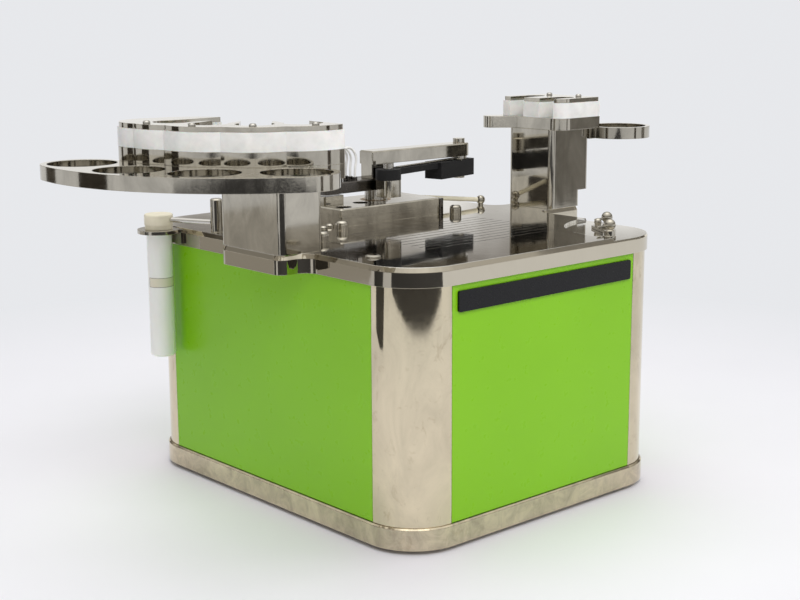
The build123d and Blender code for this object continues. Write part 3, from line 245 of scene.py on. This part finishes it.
# just above the top of the base plate, in millimetres
BASE_TOP_Z = 19.6


def polished_nickel():
    """Warm plated steel of the posts and the base, cloudy, with brown handling stains."""
    paint = Paint("nickel", (0.68, 0.60, 0.44), metallic=1.0)
    clouds = paint.noise(30.0, 6.0, 0.62, (1, 1, 0.5), 0.8)
    paint.tinted(clouds, 0.84, 1.10, 0.32, 0.68)
    stains = paint.mapped(paint.noise(16.0, 8.0, 0.7, (1, 1, 0.7), 1.6), 0.0, 0.5, 0.56, 0.74)
    paint.overlaid(stains, (0.33, 0.24, 0.14))
    foot = paint.math("LESS_THAN", paint.axis("Z"), BASE_TOP_Z * MM)
    blotches = paint.mapped(paint.noise(14.0, 6.0, 0.7, (1, 1, 1), 0.9), 0.05, 0.6, 0.42, 0.68)
    paint.overlaid(paint.math("MULTIPLY", foot, blotches), (0.30, 0.26, 0.20))
    specks = paint.noise(2.2, 3.0, 0.7)
    paint.roughened(paint.summed(clouds, paint.mapped(specks, -0.1, 0.1)), 0.012, 0.09, 0.3, 0.72)
    return paint.bumped(specks, 0.03, 0.03, 0.7).material


def bright_metal(name="bright metal", color=(0.47, 0.44, 0.375), low=0.03, high=0.12):
    """Polished plated metal with hairline grain and smudges."""
    paint = Paint(name, color, metallic=1.0)
    smudge = paint.noise(24.0, 5.0, 0.6, (1, 1, 0.5), 0.5)
    paint.tinted(smudge, 0.8, 1.16, 0.34, 0.66)
    hair = paint.noise(1.0, 2.0, 0.5, (0.06, 1, 1))
    paint.roughened(paint.summed(smudge, paint.mapped(hair, -0.12, 0.12)), low, high)
    return paint.bumped(hair, 0.03, 0.03, 0.6).material


# the deck: its nest lines, its top, the recess in its corner and how far below the top its painted
# edge shade starts, in millimetres
NEST_FIRST_Y = -103.5
NEST_PITCH = 9.0
NEST_LINES = 11
NEST_X = (-64.0, 77.0)
DECK_TOP_Z = 203.5
RECESS_CENTRE = (133.6, -144.9)
RECESS_RADIUS = 65.0
RECESS_DEPTH = 2.0
NEST_LINE_HALF_WIDTH = 0.65
RIM_SHADE_START = 0.4
MASK_MARGIN = 0.3


def mirror_deck():
    """Mirror-polished top with faint wipe marks and dark nest lines, plus painted shade on the
    edge, a darker painted reflection where it faces left and a lighter one in the recess.
    """
    paint = Paint("mirror deck", (0.70, 0.675, 0.62), metallic=1.0)
    wipe = paint.noise(34.0, 7.0, 0.66, (1, 0.35, 1), 1.6)
    paint.tinted(wipe, 0.90, 1.06, 0.34, 0.66)
    below = paint.math("LESS_THAN", paint.axis("Z"), (DECK_TOP_Z - RIM_SHADE_START) * MM)
    recess = recess_mask(paint)
    # painted shade: the edge below the top, outside the recess, is darker and warmer
    rim_shade = paint.math("MULTIPLY", below, paint.math("SUBTRACT", 1.0, recess))
    paint.overlaid(paint.math("MULTIPLY", rim_shade, 0.8), (0.62, 0.56, 0.44))
    # painted dark reflection: where the edge faces left it is darker still
    turned_left = paint.mapped(paint.facing("X"), 0.0, 1.0, -0.5, -0.98)
    left = paint.math("MULTIPLY", rim_shade, turned_left)
    paint.overlaid(paint.math("MULTIPLY", left, 0.45), (0.17, 0.15, 0.12))
    # painted reflection: the recess is painted lighter
    paint.overlaid(paint.math("MULTIPLY", recess, 0.7), (0.86, 0.85, 0.80))
    lines = nest_lines(paint)
    paint.overlaid(paint.math("MULTIPLY", lines, 0.85), (0.03, 0.025, 0.02))
    streak = paint.noise(1.6, 3.0, 0.6, (0.08, 1, 1))
    paint.roughened(paint.summed(wipe, paint.mapped(streak, -0.1, 0.1)), 0.02, 0.09)
    return paint.bumped(streak, 0.02, 0.03, 0.5).material


def recess_mask(paint):
    """Mask of the shallow round recess at the front right corner."""
    across = paint.math("SUBTRACT", paint.axis("X"), (RECESS_CENTRE[0] + FRAME_SHIFT_X) * MM)
    along = paint.math("SUBTRACT", paint.axis("Y"), RECESS_CENTRE[1] * MM)
    square = paint.math("ADD", paint.math("POWER", across, 2.0), paint.math("POWER", along, 2.0))
    inside = paint.math("LESS_THAN", square, ((RECESS_RADIUS + MASK_MARGIN) * MM) ** 2)
    up = paint.math("GREATER_THAN", paint.axis("Z"), (DECK_TOP_Z - RECESS_DEPTH - MASK_MARGIN) * MM)
    low = paint.math("LESS_THAN", paint.axis("Z"), (DECK_TOP_Z - 0.2) * MM)
    return paint.math("MULTIPLY", inside, paint.math("MULTIPLY", up, low))


def nest_lines(paint):
    """Mask of the engraved lines, repeated along Y inside the nest's rectangle."""
    y = paint.axis("Y")
    from_first = paint.math("SUBTRACT", y, (NEST_FIRST_Y - NEST_PITCH / 2) * MM)
    step = paint.math("FLOORED_MODULO", from_first, NEST_PITCH * MM)
    line = paint.near(step, NEST_PITCH / 2, NEST_LINE_HALF_WIDTH)
    span = (NEST_LINES - 1) * NEST_PITCH
    inside_y = paint.near(y, NEST_FIRST_Y + span / 2, span / 2 + 1)
    middle_x = sum(NEST_X) / 2 + FRAME_SHIFT_X
    inside_x = paint.near(paint.axis("X"), middle_x, (NEST_X[1] - NEST_X[0]) / 2)
    return paint.math("MULTIPLY", line, paint.math("MULTIPLY", inside_x, inside_y))


def green_paint():
    """Satin-gloss lime panels with a slight orange-peel surface."""
    paint = Paint("green paint", (0.222, 0.53, 0.007), roughness=0.30)
    paint.set(Coat_Weight=0.2, Coat_Roughness=0.06, Specular_IOR_Level=0.22)
    broad = paint.noise(110.0, 2.0, 0.4)
    paint.tinted(broad, 0.97, 1.03)
    paint.roughened(paint.noise(9.0, 4.0, 0.6), 0.26, 0.34)
    return paint.bumped(paint.noise(1.1, 2.0, 0.5), 0.04, 0.03, 0.4).material


# the bottle's bare outlined label, in millimetres
BOTTLE_AXIS = (-150.0 + FRAME_SHIFT_X, 117.2)
LABEL_SIDE = (0.746, -0.666)
LABEL_Z = 160.9
LABEL_HALF_HEIGHT = 3.8
LABEL_LEFT = -8.0
LABEL_RIGHT = 10.5
LABEL_BACK_Y = 4.0
LABEL_LINE = 0.35


def bottle_plastic():
    """Milky squeeze-bottle plastic with a bare cream label inside a thin dark outline."""
    paint = Paint("bottle plastic", (0.97, 0.955, 0.90), roughness=0.38)
    paint.set(Transmission_Weight=0.04, IOR=1.45, Subsurface_Weight=0.1, Subsurface_Scale=0.004)
    haze = paint.noise(12.0, 4.0, 0.6, (1, 1, 0.3))
    paint.tinted(haze, 0.95, 1.04)
    across = paint.math("SUBTRACT", paint.math(
        "ADD", paint.math("MULTIPLY", paint.axis("X"), LABEL_SIDE[0]),
        paint.math("MULTIPLY", paint.axis("Y"), LABEL_SIDE[1])
    ), (BOTTLE_AXIS[0] * LABEL_SIDE[0] + BOTTLE_AXIS[1] * LABEL_SIDE[1]) * MM)
    width = LABEL_RIGHT - LABEL_LEFT
    middle = LABEL_LEFT + width / 2
    z = paint.axis("Z")
    outer, inner = (paint.math(
        "MULTIPLY", paint.near(z, LABEL_Z, LABEL_HALF_HEIGHT - line),
        paint.near(across, middle, width / 2 - line)
    ) for line in (0.0, LABEL_LINE))
    front = paint.math("LESS_THAN", paint.axis("Y"), (BOTTLE_AXIS[1] + LABEL_BACK_Y) * MM)
    paint.overlaid(paint.math("MULTIPLY", outer, front), (0.16, 0.11, 0.07))
    paint.overlaid(paint.math("MULTIPLY", inner, front), (0.80, 0.76, 0.60))
    paint.roughened(haze, 0.3, 0.45)
    return paint.bumped(paint.noise(3.0, 2.0, 0.5), 0.05, 0.05).material


def plastic(name, color, roughness, size_mm=1.2, strength=0.12, **sockets):
    """Moulded or machined plastic with a fine tooth."""
    paint = Paint(name, color, roughness=roughness).set(**sockets)
    paint.tinted(paint.noise(12.0, 4.0, 0.55), 0.88, 1.06)
    fine = paint.noise(size_mm, 3.0, 0.6)
    paint.roughened(fine, roughness * 0.82, min(1.0, roughness * 1.18))
    return paint.bumped(fine, strength, 0.06, 0.3).material


def satin_metal(name, color, roughness):
    """Machined or ground metal with turning marks."""
    paint = Paint(name, color, metallic=1.0, roughness=roughness)
    paint.tinted(paint.noise(8.0, 4.0, 0.6), 0.85, 1.08)
    grain = paint.noise(0.8, 2.0, 0.5, (1, 1, 0.08))
    paint.roughened(grain, roughness * 0.75, roughness * 1.3)
    return paint.bumped(grain, 0.08, 0.04, 0.25).material


def clear_material(name, color, roughness, weight, ior=1.45):
    """See-through plastic with a faint haze and flow lines."""
    paint = Paint(name, color, roughness=roughness)
    paint.set(Transmission_Weight=weight, IOR=ior)
    haze = paint.noise(10.0, 4.0, 0.6, (1, 1, 0.3))
    paint.tinted(haze, 0.94, 1.03)
    paint.roughened(haze, roughness * 0.7, roughness * 1.3)
    return paint.bumped(paint.noise(3.0, 2.0, 0.5), 0.05, 0.05).material


# left of this plane the wash tube is silver, in millimetres
SILVER_TUBE_X = -60.0
SILVER_ROUGHNESS = 0.12
CREAM_ROUGHNESS = 0.36


def two_tone_tube():
    """Silver tube at the wash bottle, cream line across the deck."""
    paint = Paint("tube finishes", (0.80, 0.74, 0.57), roughness=CREAM_ROUGHNESS)
    paint.tinted(paint.noise(12.0, 4.0, 0.55), 0.9, 1.06)
    silver = paint.math("LESS_THAN", paint.axis("X"), SILVER_TUBE_X * MM)
    paint.overlaid(silver, (0.66, 0.64, 0.60))
    paint.links.new(silver, paint.shader.inputs["Metallic"])
    roughness = paint.math(
        "MULTIPLY_ADD", silver, SILVER_ROUGHNESS - CREAM_ROUGHNESS, CREAM_ROUGHNESS
    )
    paint.links.new(roughness, paint.shader.inputs["Roughness"])
    return paint.bumped(paint.noise(1.0, 3.0, 0.6), 0.08, 0.05).material


def board_material():
    """Green circuit board with traces and pads."""
    paint = Paint("circuit board", (0.02, 0.12, 0.05), roughness=0.4)
    traces = paint.cells(4.0)
    color = paint.ramp(traces, [(0.18, (0.25, 0.22, 0.1)), (0.24, (0.015, 0.11, 0.05))])
    paint.links.new(color, paint.shader.inputs["Base Color"])
    return paint.bumped(traces, 0.2, 0.1).material


def make_materials():
    return {
        "nickel": polished_nickel(),
        "chrome": bright_metal(),
        "mirror_deck": mirror_deck(),
        "green_panel": green_paint(),
        "black_gloss": plastic(
            "black gloss", (0.006, 0.006, 0.007), 0.3, 2.0, 0.03, Specular_IOR_Level=0.25
        ),
        "black_plastic": plastic(
            "black plastic", (0.013, 0.013, 0.014), 0.55, 0.9, 0.2, Specular_IOR_Level=0.3
        ),
        "black_rubber": plastic("black rubber", (0.02, 0.02, 0.02), 0.8, 1.4, 0.3),
        "dark_metal": bright_metal("dark metal", (0.12, 0.11, 0.10), 0.12, 0.3),
        "white_acetal": plastic(
            "white acetal", (0.86, 0.85, 0.82), 0.38, 1.5, 0.06,
            Subsurface_Weight=0.15, Subsurface_Scale=0.004
        ),
        "cream_plastic": plastic("cream plastic", (0.80, 0.74, 0.57), 0.42, 1.0, 0.1),
        "clear_plastic": bottle_plastic(),
        "clear_tube": clear_material("clear tube", (0.97, 0.96, 0.93), 0.2, 0.12),
        "steel": satin_metal("ground steel", (0.50, 0.48, 0.44), 0.22),
        "aluminium": satin_metal("milled aluminium", (0.68, 0.68, 0.69), 0.35),
        "bronze": satin_metal("bearing bronze", (0.50, 0.33, 0.14), 0.3),
        "circuit_board": board_material(),
        "tube_finishes": two_tone_tube(),
    }


# nodes whose finish is finer or brighter than their slot says
FINISHES = {"wash_transfer_tube": "tube_finishes", "deck_button": "chrome"}


def paint_nodes(materials):
    """Gives every CAD node its finish, which is its record slot's unless listed above."""
    slots = {part["node"]: part["material_slot"] for part in frame["record"]["subparts"]}
    for name, node in NODES.items():
        node.data.materials.clear()
        node.data.materials.append(materials[FINISHES.get(name, slots[name])])


def make_tube_loops(materials):
    """The three clear tubes that arch over the turret plate."""
    for index, lean in enumerate(LOOP_LEANS):
        data = bpy.data.curves.new(f"clear_tube_{index + 1}", "CURVE")
        data.dimensions = "3D"
        data.bevel_depth = LOOP_DIAMETER / 2 * MM
        data.bevel_resolution = 5
        data.resolution_u = 10
        data.use_fill_caps = True
        spline = data.splines.new("NURBS")
        spline.points.add(len(LOOP_ROUTE) - 1)
        y = LOOP_FIRST_Y + index * LOOP_PITCH
        for point, (across, rise) in zip(spline.points, LOOP_ROUTE):
            x = LOOP_MIDDLE_X + across + FRAME_SHIFT_X
            point.co = (x * MM, (y + lean * rise / LOOP_RISE) * MM, (LOOP_FOOT_Z + rise) * MM, 1)
        spline.order_u = 3
        spline.use_endpoint_u = True
        tube = bpy.data.objects.new(f"clear_tube_{index + 1}", data)
        data.materials.append(materials["clear_tube"])
        bpy.context.collection.objects.link(tube)
        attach(tube, "turret")
        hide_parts(f"tube_loop_{index + 1}")


# --- studio ---

BACKDROP = (0.80, 0.81, 0.835)
ROOM_LIGHT = (0.62, 0.625, 0.63)
# what mirrors see of the room, from its low wall to the ceiling, and how much patches shift it
ROOM_STOPS = [
    (0.205, (0.97, 0.96, 0.94)), (0.24, (0.27, 0.25, 0.225)), (0.32, (0.10, 0.09, 0.08)),
    (0.45, (0.44, 0.425, 0.40)), (0.66, (0.74, 0.73, 0.70)), (0.92, (1.12, 1.11, 1.09)),
    (0.97, (1.2, 1.19, 1.17)), (1.0, (2.1, 2.08, 2.05)),
]
ROOM_PATCHES = 0.16


def facing_matrix(place, target, axis):
    """Puts a thing at a place with one of its axes towards a target."""
    way = Vector(target) - Vector(place)
    return Matrix.Translation(place) @ way.to_track_quat(axis, "Y").to_matrix().to_4x4()


def matt_material(name, color, glow=None):
    """A matt finish for staging, with an even glow where one is given."""
    material = bpy.data.materials.new(name)
    material.use_nodes = True
    shader = material.node_tree.nodes["Principled BSDF"]
    shader.inputs["Base Color"].default_value = (*color, 1)
    shader.inputs["Roughness"].default_value = 0.9
    if glow:
        shader.inputs["Emission Color"].default_value = (*glow, 1)
        shader.inputs["Emission Strength"].default_value = 1.0
    return material


def card(name, size, place, target, color):
    """A flat studio card that faces a target and that the camera doesn't see."""
    mesh = bpy.data.meshes.new(name)
    x, y = size[0] / 2, size[1] / 2
    mesh.from_pydata([(-x, -y, 0), (x, -y, 0), (x, y, 0), (-x, y, 0)], [], [(0, 1, 2, 3)])
    mesh.materials.append(matt_material(name, color))
    obj = bpy.data.objects.new(name, mesh)
    obj.matrix_world = facing_matrix(place, target, "Z")
    bpy.context.collection.objects.link(obj)
    obj.visible_camera = False


def area_light(name, place, target, size, power):
    """A soft lamp that lights matt surfaces and that mirrors don't show."""
    data = bpy.data.lights.new(name, "AREA")
    data.shape = "RECTANGLE"
    data.size, data.size_y = size
    data.energy = power
    lamp = bpy.data.objects.new(name, data)
    lamp.matrix_world = facing_matrix(place, target, "-Z")
    bpy.context.collection.objects.link(lamp)
    lamp.visible_glossy = False


def seen_directly(nodes, links):
    """One for camera, glossy and transmission rays, nothing for the rays that light things."""
    path = nodes.new("ShaderNodeLightPath")
    value = path.outputs["Is Camera Ray"]
    for name in ("Is Glossy Ray", "Is Transmission Ray"):
        either = nodes.new("ShaderNodeMath")
        either.operation = "MAXIMUM"
        links.new(value, either.inputs[0])
        links.new(path.outputs[name], either.inputs[1])
        value = either.outputs[0]
    return value


def make_world():
    """Soft even light, and for reflections a bright low wall, a dim room and a bright ceiling."""
    world = bpy.data.worlds.new("studio")
    bpy.context.scene.world = world
    world.use_nodes = True
    nodes = world.node_tree.nodes
    links = world.node_tree.links
    background = nodes["Background"]
    place = nodes.new("ShaderNodeTexCoord").outputs["Generated"]
    split = nodes.new("ShaderNodeSeparateXYZ")
    links.new(place, split.inputs["Vector"])
    patches = nodes.new("ShaderNodeTexNoise")
    patches.inputs["Scale"].default_value = 9.0
    patches.inputs["Detail"].default_value = 3.0
    links.new(place, patches.inputs["Vector"])
    spread = nodes.new("ShaderNodeMath")
    spread.operation = "MULTIPLY_ADD"
    spread.inputs[1].default_value = ROOM_PATCHES
    links.new(patches.outputs["Fac"], spread.inputs[0])
    links.new(split.outputs["Z"], spread.inputs[2])
    room = nodes.new("ShaderNodeValToRGB")
    fill_ramp(room, ROOM_STOPS)
    links.new(spread.outputs[0], room.inputs["Fac"])
    pick = nodes.new("ShaderNodeMix")
    pick.data_type = "RGBA"
    pick.inputs[6].default_value = (*ROOM_LIGHT, 1)
    links.new(seen_directly(nodes, links), pick.inputs[0])
    links.new(room.outputs["Color"], pick.inputs[7])
    backdrop = nodes.new("ShaderNodeMix")
    backdrop.data_type = "RGBA"
    backdrop.inputs[7].default_value = (*BACKDROP, 1)
    links.new(nodes.new("ShaderNodeLightPath").outputs["Is Camera Ray"], backdrop.inputs[0])
    links.new(pick.outputs[2], backdrop.inputs[6])
    links.new(backdrop.outputs[2], background.inputs["Color"])
    background.inputs["Strength"].default_value = 1.0


# in metres: the floor's half width, and where it fades into the backdrop
FLOOR_REACH = 14.0
FLOOR_FADE = (0.24, 0.82)


def make_floor():
    """Pale floor that lightens into an even backdrop away from the object."""
    mesh = bpy.data.meshes.new("floor")
    corners = [(-1, -1), (1, -1), (1, 1), (-1, 1)]
    points = [(x * FLOOR_REACH, y * FLOOR_REACH, 0) for x, y in corners]
    mesh.from_pydata(points, [], [(0, 1, 2, 3)])
    floor = bpy.data.objects.new("floor", mesh)
    paint = Paint("floor", (0.85, 0.832, 0.87), roughness=0.55)
    paint.set(Specular_IOR_Level=0.2)
    paint.tinted(paint.noise(160.0, 3.0, 0.5), 0.985, 1.01)
    length = paint.nodes.new("ShaderNodeVectorMath")
    length.operation = "LENGTH"
    paint.links.new(paint.place, length.inputs[0])
    far = paint.mapped(length.outputs["Value"], 0.0, 1.0, *FLOOR_FADE)
    glow = paint.nodes.new("ShaderNodeEmission")
    glow.inputs["Color"].default_value = (*BACKDROP, 1)
    mix = paint.nodes.new("ShaderNodeMixShader")
    paint.links.new(
        paint.math("MULTIPLY", far, seen_directly(paint.nodes, paint.links)), mix.inputs[0]
    )
    paint.links.new(paint.shader.outputs[0], mix.inputs[1])
    paint.links.new(glow.outputs[0], mix.inputs[2])
    paint.links.new(mix.outputs[0], paint.nodes["Material Output"].inputs["Surface"])
    mesh.materials.append(paint.material)
    bpy.context.collection.objects.link(floor)


# patches of the floor around, which the posts and the left tower mirror, in millimetres
FRONT_PATCH = [
    (-1046, -200), (-846, -450), (-640, -612), (-434, -754), (-198, -861), (-28, -950),
    (204, -1045), (300, -2200), (-2400, -2400), (-2400, -500),
]
SIDE_PATCH = [
    (-690, 48), (-664, 127), (-690, 280), (-898, 411), (-1500, 760), (-1500, 100), (-1038, 100),
]
TOWER_PATCH = [
    (-640, 470), (-700, 640), (-790, 600), (-900, 560), (-1300, 700), (-1300, 1400), (-700, 1300),
    (-560, 760),
]

# how far above the floor they lie, in metres
PATCH_HEIGHT = 0.001


def floor_patch(name, outline, color):
    """A patch on the floor, of an even shade, that only mirrors see."""
    mesh = bpy.data.meshes.new(name)
    points = [(x * MM, y * MM, PATCH_HEIGHT) for x, y in outline]
    mesh.from_pydata(points, [], [tuple(range(len(outline)))])
    mesh.materials.append(matt_material(name, (0, 0, 0), color))
    patch = bpy.data.objects.new(name, mesh)
    bpy.context.collection.objects.link(patch)
    patch.visible_camera = False
    patch.visible_diffuse = False
    patch.visible_transmission = False
    patch.visible_shadow = False


def make_studio():
    bpy.context.scene.view_settings.view_transform = "Standard"
    make_world()
    make_floor()
    area_light("key", (-0.9, -1.6, 1.9), (0, 0, 0.12), (1.4, 1.0), 26)
    area_light("fill", (1.9, -1.2, 1.2), (0, 0, 0.12), (1.2, 1.2), 12)
    area_light("top", (0.1, 0.5, 2.1), (0, 0, 0.15), (1.6, 1.6), 16)
    card("dark card left", (0.5, 1.2), (-1.35, 0.75, 0.5), (0, 0, 0.3), (0.05, 0.042, 0.033))
    card("dark card far left", (0.3, 1.0), (-0.75, 1.45, 0.4), (0, 0, 0.3), (0.08, 0.07, 0.055))
    card("dark card front", (0.42, 1.1), (1.3, -0.85, 0.5), (0, 0, 0.2), (0.26, 0.25, 0.23))
    floor_patch("dark patch front", FRONT_PATCH, (0.022, 0.022, 0.026))
    floor_patch("dark patch side", SIDE_PATCH, (0.03, 0.03, 0.03))
    floor_patch("grey patch left", TOWER_PATCH, (0.46, 0.44, 0.41))
    card("dark card right", (0.22, 1.0), (0.62, -1.5, 0.4), (0, 0, 0.2), (0.1, 0.085, 0.07))


make_camera()
MATERIALS = make_materials()
make_tube_loops(MATERIALS)
paint_nodes(MATERIALS)
make_studio()
